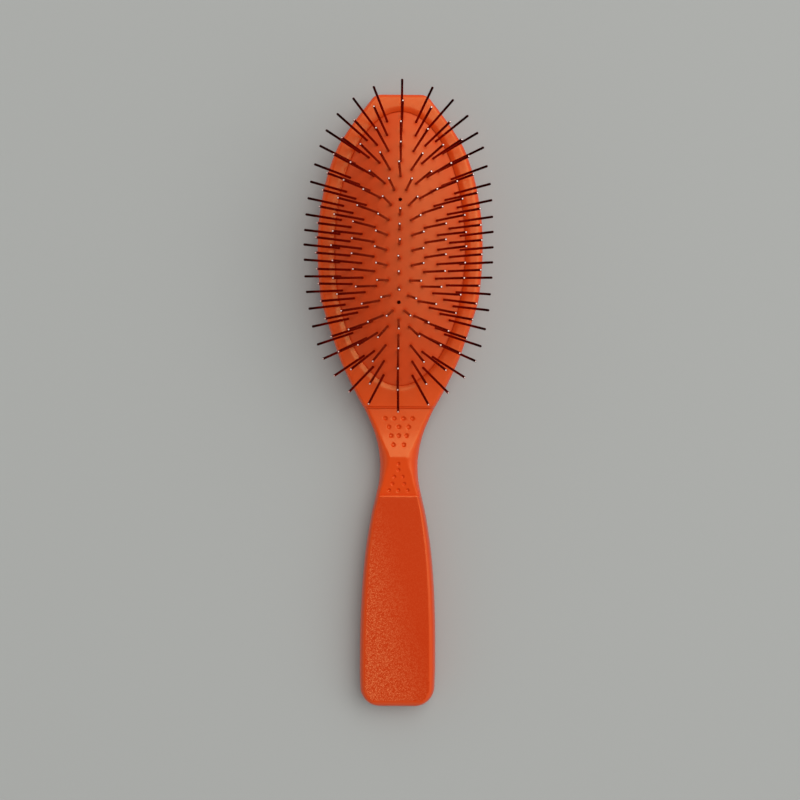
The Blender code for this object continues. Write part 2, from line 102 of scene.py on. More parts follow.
camera = bpy.data.objects.new("camera", bpy.data.cameras.new("camera"))
bpy.context.scene.collection.objects.link(camera)
camera.location = (MIDDLE_X + CROP_X * math.cos(CAMERA_TURN) - CROP_Y * math.sin(CAMERA_TURN),
                   MIDDLE_Y + CROP_X * math.sin(CAMERA_TURN) + CROP_Y * math.cos(CAMERA_TURN),
                   OUTLINE_LEVEL + CAMERA_DISTANCE)
camera.rotation_euler = (0.0, 0.0, CAMERA_TURN)
camera.data.lens = camera.data.sensor_width * CAMERA_DISTANCE / FRAME_WIDTH
camera.data.shift_x = -CROP_X / FRAME_WIDTH
camera.data.shift_y = -CROP_Y / FRAME_WIDTH
bpy.context.scene.camera = camera
print("camera lens in mm", round(camera.data.lens, 1))

# %% [markdown]
# Two large soft lamps light the brush as windows would. The main one stands high at the top
# right and lays the shadow to the lower left. The other is lower, at the right, and lights the
# edges on that side.

# %% The lamps
def add_lamp(name, azimuth, elevation, distance, size, power):
    """A square soft lamp that faces the brush; in degrees, metres and watts."""
    data = bpy.data.lights.new(name, "AREA")
    data.size = size
    data.energy = power
    lamp = bpy.data.objects.new(name, data)
    turn, tilt = math.radians(azimuth), math.radians(elevation)
    direction = Vector((math.cos(turn) * math.cos(tilt), math.sin(turn) * math.cos(tilt),
                        math.sin(tilt)))
    lamp.location = direction * distance
    lamp.rotation_euler = direction.to_track_quat("Z", "Y").to_euler()
    bpy.context.scene.collection.objects.link(lamp)


add_lamp("window", azimuth=47, elevation=62, distance=3.0, size=2.6, power=57.0)
add_lamp("side_window", azimuth=0, elevation=38, distance=3.5, size=1.3, power=6.5)
print("lamps:", len(bpy.data.lights))

# %% [markdown]
# The world fills the shadows. It is dim overhead, around the camera, so that flat faces don't
# mirror a bright ceiling. It is brightest halfway up, and dimmer again at the horizon, as in a
# room. How near a direction is to the middle of the dim ceiling comes from a dot product.
# Lamps and world together light a surface at about its written colour.

# %% The world
SKY_COLOUR = "#E9EAEC"
CEILING_WAY = (-0.16, -0.10, 0.98)
WALL_NEARNESS, CEILING_NEARNESS = 0.15, 0.80
WALL_LIGHT, CEILING_LIGHT = 1.34, 0.42
HORIZON_SHARE = 0.62
FULL_WALL_HEIGHT = 0.45

world = bpy.data.worlds.new("room")
bpy.context.scene.world = world
world.use_nodes = True
tree = world.node_tree
tree.nodes.clear()
direction = add_node(tree, "ShaderNodeTexCoord").outputs["Generated"]
nearness = add_node(tree, "ShaderNodeVectorMath", {"operation": "DOT_PRODUCT"},
                    {1: CEILING_WAY}, {0: direction})
light = add_node(tree, "ShaderNodeMapRange", {"interpolation_type": "SMOOTHSTEP"},
                 {"From Min": WALL_NEARNESS, "From Max": CEILING_NEARNESS,
                  "To Min": WALL_LIGHT, "To Max": CEILING_LIGHT},
                 {"Value": nearness.outputs["Value"]})
height = add_node(tree, "ShaderNodeSeparateXYZ", {}, {}, {0: direction})
low_dim = add_node(tree, "ShaderNodeMapRange", {"interpolation_type": "SMOOTHSTEP"},
                   {"From Max": FULL_WALL_HEIGHT, "To Min": HORIZON_SHARE},
                   {"Value": height.outputs["Z"]})
both = add_node(tree, "ShaderNodeMath", {"operation": "MULTIPLY"}, {},
                {0: light.outputs[0], 1: low_dim.outputs[0]})
sky = add_node(tree, "ShaderNodeBackground", {}, {"Color": linear(SKY_COLOUR)},
               {"Strength": both.outputs[0]})
add_node(tree, "ShaderNodeOutputWorld", {}, {}, {"Surface": sky.outputs[0]})
bpy.context.scene.view_settings.view_transform = "Standard"
print("world light from", CEILING_LIGHT, "overhead to", WALL_LIGHT, "at the walls")

# %% [markdown]
# The floor is plain, matt and pale grey, and far wider than the picture. A simple grid with
# one face is enough, because only its colour and the brush's shadow show.

# %% The floor
FLOOR_COLOUR = "#A9AAA6"
FLOOR_ROUGHNESS = 0.9
FLOOR_HALF_WIDTH = 4.0

floor_bm = bmesh.new()
bmesh.ops.create_grid(floor_bm, x_segments=1, y_segments=1, size=FLOOR_HALF_WIDTH)
floor_mesh = bpy.data.meshes.new("floor")
floor_bm.to_mesh(floor_mesh)
floor_bm.free()
floor = bpy.data.objects.new("floor", floor_mesh)
bpy.context.scene.collection.objects.link(floor)
floor_paint = bpy.data.materials.new("floor_paint")
floor_paint.use_nodes = True
floor_shader = floor_paint.node_tree.nodes["Principled BSDF"]
floor_shader.inputs["Base Color"].default_value = linear(FLOOR_COLOUR)
floor_shader.inputs["Roughness"].default_value = FLOOR_ROUGHNESS
floor_mesh.materials.append(floor_paint)
print("floor is", 2 * FLOOR_HALF_WIDTH, "m wide")

# %% [markdown]
# ## The moulding
# Grip, neck and head are one piece of ABS from one mould. Its outline swells and narrows, its
# front is flat with rounded edges, and at the waist the edges open into wide bevels. A loft
# fits this best: one cross-section function, called at many places along the brush. Lengths
# are in metres, measured from the butt of the handle; widths and shapes are shares of each
# stretch's own length and width, as in the frame's own source.

# %% Lengths of the moulding
GRIP_LENGTH = 77.9 * MM
NECK_LENGTH = 31.7 * MM
LEDGE_RUN = 1.1 * MM
HEAD_LENGTH = 114.3 * MM

OVERALL_LENGTH = GRIP_LENGTH + NECK_LENGTH + LEDGE_RUN + HEAD_LENGTH
LEDGE_FOOT = GRIP_LENGTH + NECK_LENGTH
HEAD_START = LEDGE_FOOT + LEDGE_RUN
BUTT_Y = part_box("handle_body")[0].y
print("moulding is", round(OVERALL_LENGTH / MM, 1), "mm long, from y", round(BUTT_Y / MM, 1))


def along_grip(share):
    """Distance from the butt, at a share of the grip's length."""
    return share * GRIP_LENGTH


def along_neck(share):
    """Distance from the butt, at a share of the neck's length."""
    return GRIP_LENGTH + share * NECK_LENGTH


def along_head(share):
    """Distance from the butt, at a share of the head's length."""
    return HEAD_START + share * HEAD_LENGTH


# %% [markdown]
# A few points describe each contour of the moulding, and a smooth curve runs through them. It
# is a cubic whose slopes are chosen so that it never swings past its points. A plain spline
# would put waves into the long straight stretches.

# %% A smooth curve through points
def smooth_through(points, place):
    """Value at a place of a smooth curve through (place, value) points, held at its ends."""
    if place <= points[0][0]:
        return points[0][1]
    if place >= points[-1][0]:
        return points[-1][1]
    slopes = [(points[1][1] - points[0][1]) / (points[1][0] - points[0][0])]
    for before, here, after in zip(points, points[1:], points[2:]):
        left = (here[1] - before[1]) / (here[0] - before[0])
        right = (after[1] - here[1]) / (after[0] - here[0])
        slopes.append(0.0 if left * right <= 0.0 else 2.0 * left * right / (left + right))
    slopes.append((points[-1][1] - points[-2][1]) / (points[-1][0] - points[-2][0]))
    index = next(i for i in range(len(points) - 1) if place <= points[i + 1][0])
    start, end = points[index], points[index + 1]
    span = end[0] - start[0]
    t = (place - start[0]) / span
    return (start[1] * (1 + 2 * t) * (1 - t) ** 2 + end[1] * t * t * (3 - 2 * t)
            + span * slopes[index] * t * (1 - t) ** 2 - span * slopes[index + 1] * t * t * (1 - t))


# %% [markdown]
# Seen from above, the grip is widest towards its butt, the waist has half its width, and the
# head is a long oval with a flat end. The corners at both ends are arcs. Each pair below is a
# place, as a share of the stretch's length, and a width, as a share of the stretch's width.

# %% Outline of the moulding
GRIP_WIDTH = 27.9 * MM
WAIST_WIDTH = 13.9 * MM
HEAD_WIDTH = 61.0 * MM
HEAD_END_FLAT = 16.0 * MM
BUTT_CORNER = 7.0 * MM
HEAD_CORNER = 3.5 * MM
HEAD_CORNER_DEPTH = 1.2 * MM
GRIP_OUTLINE_SHARES = ((0.090, 0.984), (0.186, 1.0), (0.329, 0.996), (0.5, 0.968),
                       (0.707, 0.882), (0.902, 0.717), (1.0, 0.593))
NECK_OUTLINE_SHARES = ((0.189, 1.03), (0.341, 1.0), (0.498, 1.065), (0.685, 1.259),
                       (0.883, 1.61), (1.0, 1.856))
HEAD_OUTLINE_SHARES = ((0.0, 0.446), (0.082, 0.607), (0.150, 0.721), (0.202, 0.790),
                       (0.262, 0.866), (0.360, 0.964), (0.502, 1.0), (0.573, 0.993),
                       (0.672, 0.944), (0.738, 0.889), (0.829, 0.769), (0.867, 0.685),
                       (0.922, 0.544))
OUTLINE = (
    [(along_grip(share), width * GRIP_WIDTH / 2) for share, width in GRIP_OUTLINE_SHARES]
    + [(along_neck(share), width * WAIST_WIDTH / 2) for share, width in NECK_OUTLINE_SHARES]
    + [(along_head(share), width * HEAD_WIDTH / 2) for share, width in HEAD_OUTLINE_SHARES]
    + [(OVERALL_LENGTH - HEAD_CORNER_DEPTH,
        HEAD_END_FLAT / 2 + math.sqrt(HEAD_CORNER ** 2 - (HEAD_CORNER - HEAD_CORNER_DEPTH) ** 2))]
)


def half_width(place):
    """Half width of the moulding at a distance from the butt."""
    from_end = OVERALL_LENGTH - place
    if place < BUTT_CORNER:
        full = smooth_through(OUTLINE, BUTT_CORNER)
        return full - BUTT_CORNER + math.sqrt(BUTT_CORNER ** 2 - (BUTT_CORNER - place) ** 2)
    if from_end < HEAD_CORNER_DEPTH:
        return HEAD_END_FLAT / 2 + math.sqrt(HEAD_CORNER ** 2 - (HEAD_CORNER - from_end) ** 2)
    return smooth_through(OUTLINE, place)


print("outline has", len(OUTLINE), "points on each side")

# %% [markdown]
# Seen from the side, the front face has three levels. The grip's face ends in a small step
# down to the neck. The neck rises to a sharp ridge and falls into a hollow for the thumb, and
# two narrow steps lead up to the head. The same smooth curve gives all the heights. The steps
# are eased, because a moulded edge is never quite sharp, and the grip's face ends in a small
# bevel.

# %% Heights of the moulding
BUTT_HEIGHT = 11.2 * MM
GRIP_HEIGHT = 12.2 * MM
GRIP_STEP_HEIGHT = 11.6 * MM
STEP_FOOT_HEIGHT = 10.7 * MM
RIDGE_HEIGHT = 12.2 * MM
SCOOP_MIDDLE_HEIGHT = 10.6 * MM
SCOOP_HEIGHT = 10.0 * MM
SHELF_HEIGHT = 11.1 * MM
HEAD_HEIGHT = 12.0 * MM
NECK_ARCH = 1.2 * MM
HEAD_END_LIFT = 1.2 * MM
BUTT_ROUND = 3.0 * MM
HEAD_END_ROUND = 1.5 * MM
STEP_RUN = 0.42 * MM
GRIP_BEVEL_RUN = 0.5 * MM
GRIP_BEVEL_RISE = 0.42
RIDGE_SHARE = 4 / 9

BEVEL_START = GRIP_LENGTH - GRIP_BEVEL_RUN
FRONT_GRIP = [(0.0, BUTT_HEIGHT), (along_grip(0.45), GRIP_HEIGHT),
              (along_grip(1.0), GRIP_STEP_HEIGHT)]
RIDGE_PLACE = along_neck(RIDGE_SHARE)
NECK_SLOPE = [(GRIP_LENGTH, STEP_FOOT_HEIGHT), (RIDGE_PLACE, RIDGE_HEIGHT)]
THUMB_HOLLOW = [(RIDGE_PLACE, RIDGE_HEIGHT), (along_neck(0.72), SCOOP_MIDDLE_HEIGHT),
                (LEDGE_FOOT, SCOOP_HEIGHT)]
BACK = [(0.0, 0.0), (along_grip(0.9), 0.0), (along_neck(0.5), NECK_ARCH),
        (along_head(0.14), 0.0), (along_head(0.84), 0.0), (along_head(1.0), HEAD_END_LIFT)]


def end_round(place):
    """How far the front and back faces draw in towards the two rounded ends."""
    for radius, reach in ((BUTT_ROUND, place), (HEAD_END_ROUND, OVERALL_LENGTH - place)):
        if reach < radius:
            return radius - math.sqrt(radius ** 2 - (radius - reach) ** 2)
    return 0.0


def ease(share):
    """A step with soft ends, from 0 to 1."""
    share = min(max(share, 0.0), 1.0)
    return share * share * (3 - 2 * share)


def neck_height(place):
    """Height of the front of the neck, on either side of its ridge."""
    return smooth_through(NECK_SLOPE if place < RIDGE_PLACE else THUMB_HOLLOW, place)


def front_height(place):
    """Height of the front face, with its three small steps."""
    if place < GRIP_LENGTH:
        into_bevel = max(place - BEVEL_START, 0.0)
        return smooth_through(FRONT_GRIP, place) - GRIP_BEVEL_RISE * into_bevel
    height = neck_height(place)
    height += (SHELF_HEIGHT - height) * ease((place - LEDGE_FOOT) / STEP_RUN)
    return height + (HEAD_HEIGHT - height) * ease((place - HEAD_START) / STEP_RUN + 1)


print("step below the grip is", round((GRIP_STEP_HEIGHT - STEP_FOOT_HEIGHT) / MM, 2), "mm high")

# %% [markdown]
# Each cross-section has a flat back and a flat front. Between them the sides are rounded, and
# widest at a middle level. How much of the width is flat changes along the brush, and so does
# the corner: its number is 1 for an ellipse, less for a fuller corner, more for a bevel.

# %% Cross-sections of the moulding
GRIP_MID_LEVEL = 5.8 * MM
NECK_MID_LEVEL = 6.2 * MM
HEAD_MID_LEVEL = 7.5 * MM
FRONT_ROUND_POINTS = 14
BACK_ROUND_POINTS = 16
FLAT_POINTS = 12

MID_LEVEL = [(along_grip(0.8), GRIP_MID_LEVEL), (along_neck(0.4), NECK_MID_LEVEL),
             (along_head(0.15), HEAD_MID_LEVEL)]
FRONT_FLAT_SHARES = [(0.0, 0.72), (along_grip(0.1), 0.80), (along_grip(0.9), 0.80),
                     (along_neck(0.0), 0.80), (along_neck(0.22), 0.68), (along_neck(0.44), 0.42),
                     (along_neck(0.57), 0.62), (along_neck(0.72), 0.78), (along_neck(1.0), 0.86),
                     (along_head(0.2), 0.92), (along_head(0.88), 0.90), (along_head(1.0), 0.80)]
BACK_FLAT_SHARES = [(0.0, 0.36), (along_grip(1.0), 0.36), (along_neck(0.5), 0.30),
                    (along_head(0.1), 0.45), (along_head(1.0), 0.45)]
FRONT_CORNER_SHARES = [(0.0, 0.8), (along_grip(0.9), 0.8), (along_neck(0.2), 1.14),
                       (along_neck(0.5), 1.1), (along_neck(0.8), 1.0), (along_head(0.1), 0.75),
                       (along_head(1.0), 0.75)]


def section(place):
    """One closed cross-section: back flat, back rounding, front rounding, front flat, mirrored."""
    draw_in = end_round(place)
    wide = half_width(place)
    front = front_height(place) - draw_in
    back = smooth_through(BACK, place) + draw_in
    level = smooth_through(MID_LEVEL, place)
    front_flat = wide * smooth_through(FRONT_FLAT_SHARES, place)
    back_flat = wide * smooth_through(BACK_FLAT_SHARES, place)
    corner = smooth_through(FRONT_CORNER_SHARES, place)
    right = [(back_flat * index / FLAT_POINTS, back) for index in range(1, FLAT_POINTS)]
    for index in range(BACK_ROUND_POINTS + 1):
        turn = math.pi / 2 * index / BACK_ROUND_POINTS
        right.append((back_flat + (wide - back_flat) * math.sin(turn),
                      level - (level - back) * math.cos(turn)))
    for index in range(1, FRONT_ROUND_POINTS + 1):
        turn = math.pi / 2 * index / FRONT_ROUND_POINTS
        right.append((front_flat + (wide - front_flat) * max(math.cos(turn), 0.0) ** corner,
                      level + (front - level) * math.sin(turn) ** corner))
    right += [(front_flat * (1 - index / FLAT_POINTS), front) for index in range(1, FLAT_POINTS)]
    left = [(-across, up) for across, up in reversed(right)]
    y = BUTT_Y + place
    return [(across, y, up) for across, up in [(0.0, back)] + right + [(0.0, front)] + left]


# %% [markdown]
# The cross-sections stand closest where the shape turns most: at the rounded ends and at the
# three small steps. The step below the grip is cut straight down, so two sections stand there
# almost at one place.

# %% Places of the cross-sections
BUTT_SECTIONS = 16
GRIP_SECTIONS = 50
BEVEL_SECTIONS = 2
NECK_SLOPE_SECTIONS = 30
THUMB_HOLLOW_SECTIONS = 36
STEP_SECTIONS = 5
SHELF_SECTIONS = 3
HEAD_SECTIONS = 90
HEAD_END_SECTIONS = 14
STEP_GAP = 0.02 * MM


def spread(start, end, count):
    """Evenly spaced places from a start up to, but without, an end."""
    return [start + (end - start) * index / count for index in range(count)]


def end_places(length, count):
    """Distances from an end, close together where the rounding is steep."""
    return [length * (1 - math.cos(math.pi / 2 * index / count)) for index in range(count)]


places = end_places(BUTT_CORNER, BUTT_SECTIONS)
for stretch_start, stretch_end, sections in (
        (BUTT_CORNER, BEVEL_START, GRIP_SECTIONS),
        (BEVEL_START, GRIP_LENGTH - STEP_GAP, BEVEL_SECTIONS),
        (GRIP_LENGTH - STEP_GAP, GRIP_LENGTH, 1),
        (GRIP_LENGTH, RIDGE_PLACE, NECK_SLOPE_SECTIONS),
        (RIDGE_PLACE, LEDGE_FOOT, THUMB_HOLLOW_SECTIONS),
        (LEDGE_FOOT, LEDGE_FOOT + STEP_RUN, STEP_SECTIONS),
        (LEDGE_FOOT + STEP_RUN, HEAD_START - STEP_RUN, SHELF_SECTIONS),
        (HEAD_START - STEP_RUN, HEAD_START, STEP_SECTIONS),
        (HEAD_START, OVERALL_LENGTH - HEAD_END_ROUND, HEAD_SECTIONS)):
    places += spread(stretch_start, stretch_end, sections)
end_depths = end_places(HEAD_END_ROUND, HEAD_END_SECTIONS)
places += [OVERALL_LENGTH - depth for depth in reversed(end_depths)]
print("cross-sections:", len(places), "of", len(section(0.0)), "points")

# %% [markdown]
# Rings of points are skinned into a closed mesh with four-sided faces between each ring and
# the next. The same helper serves the moulding, its cutters and the pins. Everything is shaded
# smooth, apart from edges where two faces meet at more than a given angle.

# %% Skin rings into a mesh
MOULDING_SHARP_ANGLE = 40


def bridge(bm, first, second):
    """Four-sided faces between two closed rings of points."""
    for index in range(len(first)):
        after = (index + 1) % len(first)
        bm.faces.new((first[index], first[after], second[after], second[index]))


def skin(bm, rings):
    """Skin closed rings and cap both ends."""
    loops = [[bm.verts.new(point) for point in ring] for ring in rings]
    for lower, upper in zip(loops, loops[1:]):
        bridge(bm, lower, upper)
    bm.faces.new(list(reversed(loops[0])))
    bm.faces.new(loops[-1])


def shade(mesh, sharp_angle):
    """Shade smooth, with sharp edges only at real corners; the angle is in degrees."""
    mesh.shade_smooth()
    mesh.set_sharp_from_angle(angle=math.radians(sharp_angle))


def to_object(name, bm, sharp_angle=MOULDING_SHARP_ANGLE):
    """Finish a bmesh as a shaded object."""
    mesh = bpy.data.meshes.new(name)
    bmesh.ops.recalc_face_normals(bm, faces=bm.faces)
    bm.to_mesh(mesh)
    bm.free()
    shade(mesh, sharp_angle)
    obj = bpy.data.objects.new(name, mesh)
    bpy.context.scene.collection.objects.link(obj)
    return obj


# %% [markdown]
# ### The opening in the head
# A sloping rim leads down to an oval opening. Below its edge a groove holds the cushion, and
# under that is the air chamber. All of this is one cutter, a stack of ovals, each a fixed
# distance larger than the opening. The rim rolls over the head's face without a crease, grows
# steeper inwards and ends in a small rounded lip that drops to the cushion. So its tone deepens
# or lightens towards the cushion, by the side that it faces.

# %% The opening cutter
HEAD_CENTRE_SHARE = 0.505
OPENING_WIDTH = 48.0 * MM
OPENING_LENGTH = 100.6 * MM
RIM_SLOPE_RUN = 2.2 * MM
RIM_EDGE_DROP = 0.38 * MM
RIM_ROLL_POWER = 1.9
LIP_ROUND = 0.15 * MM
GROOVE_DEPTH = 1.6 * MM
CHAMBER_FLOOR = 3.0 * MM
RUBBER_THICKNESS = 1.6 * MM
RUBBER_EDGE_HEIGHT = 9.2 * MM
FIT_GAP = 0.3 * MM
CUT_OVERRUN = 1.0 * MM
RIM_STEPS = 14
LIP_STEPS = 4
OVAL_POINTS = 240

HEAD_Y = BUTT_Y + along_head(HEAD_CENTRE_SHARE)


def oval(grow, height, points=OVAL_POINTS):
    """An oval a fixed distance larger than the opening."""
    ring = []
    for index in range(points):
        turn = 2 * math.pi * index / points
        ring.append(((OPENING_WIDTH / 2 + grow) * math.cos(turn),
                     HEAD_Y + (OPENING_LENGTH / 2 + grow) * math.sin(turn), height))
    return ring


rim_profile = []
for index in range(1, RIM_STEPS + 1):
    inward = index / RIM_STEPS
    rim_profile.append((LIP_ROUND + (RIM_SLOPE_RUN - LIP_ROUND) * (1 - inward),
                        HEAD_HEIGHT - RIM_EDGE_DROP * inward ** RIM_ROLL_POWER))
first_rise = (HEAD_HEIGHT - rim_profile[0][1]) / (RIM_SLOPE_RUN - rim_profile[0][0])
rim_profile.insert(0, (rim_profile[0][0] + CUT_OVERRUN,
                       rim_profile[0][1] + CUT_OVERRUN * first_rise))
lip_height = HEAD_HEIGHT - RIM_EDGE_DROP
for index in range(1, LIP_STEPS + 1):
    turn = math.pi / 2 * index / LIP_STEPS
    rim_profile.append((LIP_ROUND * (1 - math.sin(turn)),
                        lip_height - LIP_ROUND * (1 - math.cos(turn))))
groove_top = RUBBER_EDGE_HEIGHT + FIT_GAP
groove_bottom = RUBBER_EDGE_HEIGHT - RUBBER_THICKNESS - FIT_GAP
rim_profile += [(0.0, groove_top), (GROOVE_DEPTH, groove_top), (GROOVE_DEPTH, groove_bottom),
                (0.0, groove_bottom), (0.0, CHAMBER_FLOOR)]
cutter_bm = bmesh.new()
skin(cutter_bm, [oval(grow, height) for grow, height in rim_profile])
opening_cutter = to_object("opening_cutter", cutter_bm)
print("rim profile has", len(rim_profile), "rings")

# %% [markdown]
# ### The dimples under the thumb
# Two groups of small round dimples stop the thumb from slipping. They form an arrow that
# points down to the waist and one that points up, whose dimples are smaller. Each is a shallow
# bowl with a soft lip, cut square to the face that it lies in. A row below is a place along
# the neck and the places across it, and the bowl is given as pairs of height and width.

# %% The dimple cutter
DIMPLE_ROW_SHARES = (
    (0.890, (-0.715, -0.239, 0.239, 0.715)),
    (0.792, (-0.521, 0.0, 0.521)),
    (0.691, (-0.409, 0.0, 0.409)),
    (0.587, (-0.274, 0.274)),
    (0.369, (0.0,)),
    (0.298, (0.0,)),
    (0.219, (-0.223, 0.223)),
    (0.136, (-0.308, 0.308)),
    (0.060, (-0.489, 0.0, 0.489)),
)
DIMPLE_RADIUS = 0.8 * MM
DIMPLE_DEPTH = 0.6 * MM
DIMPLE_SIDES = 28
UPPER_GROUP_START = 0.5
LOWER_SIZE_SHARE = 0.85
BOWL_SHARES = ((-1.0, 0.18), (-0.96, 0.34), (-0.84, 0.54), (-0.62, 0.73), (-0.32, 0.89),
               (-0.08, 1.0), (0.03, 1.13), (0.4, 1.3))

dimple_bm = bmesh.new()
for place_share, across_shares in DIMPLE_ROW_SHARES:
    place = along_neck(place_share)
    face = neck_height(place)
    rise = neck_height(place + DIMPLE_RADIUS) - neck_height(place - DIMPLE_RADIUS)
    rise /= 2 * DIMPLE_RADIUS
    size = DIMPLE_RADIUS * (1.0 if place_share > UPPER_GROUP_START else LOWER_SIZE_SHARE)
    for across_share in across_shares:
        rings = []
        for depth_share, wide_share in BOWL_SHARES:
            ring = []
            for index in range(DIMPLE_SIDES):
                turn = 2 * math.pi * index / DIMPLE_SIDES
                forward = wide_share * size * math.sin(turn)
                ring.append((across_share * WAIST_WIDTH / 2 + wide_share * size * math.cos(turn),
                             BUTT_Y + place + forward,
                             face + depth_share * DIMPLE_DEPTH + rise * forward))
            rings.append(ring)
        skin(dimple_bm, rings)
dimple_cutter = to_object("dimple_cutter", dimple_bm)
print("dimples cut:", sum(len(row[1]) for row in DIMPLE_ROW_SHARES))

# %% [markdown]
# The cutters are taken out of the loft with Booleans, which are then applied: the evaluated
# mesh becomes the piece, and the cutters are deleted. A weighted-normal modifier keeps the
# long flat faces looking flat next to the small cut ones.

# %% Make the moulding
def apply_cuts(obj, cutters):
    """Subtract the cutters for good and delete them."""
    for cutter in cutters:
        modifier = obj.modifiers.new(cutter.name, "BOOLEAN")
        modifier.operation = "DIFFERENCE"
        modifier.solver = "EXACT"
        modifier.object = cutter
    graph = bpy.context.evaluated_depsgraph_get()
    cut_mesh = bpy.data.meshes.new_from_object(obj.evaluated_get(graph))
    obj.modifiers.clear()
    obj.data = cut_mesh
    for cutter in cutters:
        bpy.data.objects.remove(cutter)


moulding_bm = bmesh.new()
skin(moulding_bm, [section(place) for place in places])
moulding = to_object("moulding", moulding_bm)
apply_cuts(moulding, [opening_cutter, dimple_cutter])
shade(moulding.data, MOULDING_SHARP_ANGLE)
weighted = moulding.modifiers.new("flat_faces", "WEIGHTED_NORMAL")
weighted.keep_sharp = True
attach(moulding, "handle")
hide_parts("handle_body")
print("moulding faces:", len(moulding.data.polygons))

# %% [markdown]
# ## The cushion
# The cushion is a sheet of rubber pressed into a dome, so that air under it makes a spring.
# Its sides fall ever more steeply towards the rim, and along the brush it stays level for
# longer. A formula gives its height, because a dome has no edges to model by hand. It starts
# just below the rim's edge, against the wall, so that hardly a gap shows.

# %% Shape of the rubber
CROWN_HEIGHT = 17.2 * MM
DOME_START = 11.15 * MM
CROWN_SIDE_POWER = 2.2
CROWN_END_POWER = 3.6


def dome_height(across, along):
    """Height of the rubber, at a place measured from the middle of the opening."""
    share_across = across / (OPENING_WIDTH / 2)
    share_along = along / (OPENING_LENGTH / 2)
    radius = math.hypot(share_across, share_along)
    if radius == 0.0:
        return CROWN_HEIGHT
    power = (CROWN_SIDE_POWER * share_across ** 2 + CROWN_END_POWER * share_along ** 2) / radius ** 2
    return DOME_START + (CROWN_HEIGHT - DOME_START) * max(1 - radius ** power, 0.0)


print("dome is", round((CROWN_HEIGHT - DOME_START) / MM, 2), "mm high")

# %% [markdown]
# ### Lean of the pins
# A pin stands upright in the middle of the dome and leans outwards more and more towards its
# edge. Leans are sines of angles, so they are also shares of the pin's length. A used brush
# has its pins pushed a little to one side, and no longer quite in line: small random draws
# from a fixed seed give each its own lean.

# %% Lean of the pins
PIN_SIDE_LEAN = 0.476
PIN_END_LEAN = 0.444
PIN_END_LEAN_POWER = 2.1
LEAN_REACH_SHARE = 0.877
LEAN_END_SHARE = 0.962
FAN_SPREAD = 0.22
USED_LEAN = 0.023
USED_SPREAD = 0.075
LEAN_SCATTER = 0.008
SCATTER_SEED = 7

scatter = random.Random(SCATTER_SEED)


def pin_direction(across, along):
    """Direction of a pin: upright in the middle, leaning outwards, and a little bent by use."""
    share_across = across / (OPENING_WIDTH / 2)
    share_along = along / (OPENING_LENGTH / 2)
    reach = min(abs(share_across) / LEAN_REACH_SHARE, 1.0)
    lean_across = math.copysign(PIN_SIDE_LEAN * math.sin(math.pi / 2 * reach), across)
    lean_across += (FAN_SPREAD * share_across + USED_SPREAD * abs(share_across)) * share_along ** 2
    lean_across += (USED_LEAN + scatter.gauss(0, LEAN_SCATTER)) * (1 - share_across ** 2)
    end_reach = abs(share_along) / LEAN_END_SHARE
    lean_along = math.copysign(PIN_END_LEAN * end_reach ** PIN_END_LEAN_POWER, along)
    lean_along += scatter.gauss(0, LEAN_SCATTER) * (1 - share_along ** 2)
    return Vector((lean_across, lean_along, math.sqrt(1 - lean_across ** 2 - lean_along ** 2)))


# %% [markdown]
# ### Places of the pins
# The pins stand in eleven columns, a middle one and five on each side. Halfway along the brush
# the rows of a column lie on a bow, and at each end the columns open into a fan. All places
# are shares of the opening's half width and half length. The whole field sits in the head with
# a slight turn, as the rubber was pressed in.

# %% Places of the pins
OUTERMOST_COLUMN = 5
FIELD_TURN = math.radians(0.45)
COLUMN_MIDDLE_SHARES = (0.0, 0.200, 0.398, 0.589, 0.769, 0.932)
COLUMN_ROW_END_SHARES = (0.0, 0.091, 0.238, 0.408, 0.569, 0.710)
ROW_END_SHARES = (0.371, 0.437, 0.478, 0.526, 0.568, 0.617)
ROW_SHIFT_SHARES = (0.022, 0.016, 0.011, 0.007, 0.006, 0.003)
MIDDLE_PINS = 8
FAN_ACROSS_SHARES = ((0.0, 0.222, 0.385, 0.529, 0.637), (0.0, 0.218, 0.369, 0.491),
                     (0.0, 0.192, 0.326), (0.0, 0.166), (0.0,))
FAN_ALONG_SHARES = ((0.962, 0.925, 0.866, 0.786, 0.698), (0.852, 0.822, 0.749, 0.656),
                    (0.742, 0.705, 0.617), (0.631, 0.569), (0.521,))


def turned(across, along):
    """A place in the pin field once the field is turned in the head."""
    return (across * math.cos(FIELD_TURN) + along * math.sin(FIELD_TURN),
            along * math.cos(FIELD_TURN) - across * math.sin(FIELD_TURN))


def column_places(column):
    """Places of the pins of one column, from the head's end to the neck."""
    index = abs(column)
    side = math.copysign(1.0, column)
    fan = []
    for across_row, along_row in zip(FAN_ACROSS_SHARES, FAN_ALONG_SHARES):
        if index < len(across_row):
            fan.append((side * across_row[index] * OPENING_WIDTH / 2,
                        along_row[index] * OPENING_LENGTH / 2))
    middle = []
    last = MIDDLE_PINS + index - 1
    for row in range(last + 1):
        travel = 1 - 2 * row / last
        bow = COLUMN_ROW_END_SHARES[index] - COLUMN_MIDDLE_SHARES[index]
        across_share = COLUMN_MIDDLE_SHARES[index] + bow * travel ** 2
        middle.append((side * across_share * OPENING_WIDTH / 2,
                       (travel * ROW_END_SHARES[index] - ROW_SHIFT_SHARES[index])
                       * OPENING_LENGTH / 2))
    if index == 0:
        middle = middle[1:-1]
    return fan + middle + [(across, -along) for across, along in reversed(fan)]


pin_columns = [[(turned(*place), pin_direction(*place)) for place in column_places(column)]
               for column in range(-OUTERMOST_COLUMN, OUTERMOST_COLUMN + 1)]
pin_places = [place for column in pin_columns for place, _ in column]
print("pins:", len(pin_places), "in", len(pin_columns), "columns")

# %% [markdown]
# Where a pin comes through, the rubber is drawn in a little. The dip is a bell curve round each
# pin. To find the nearest pins quickly, all are sorted into square cells first, wider than a dip.

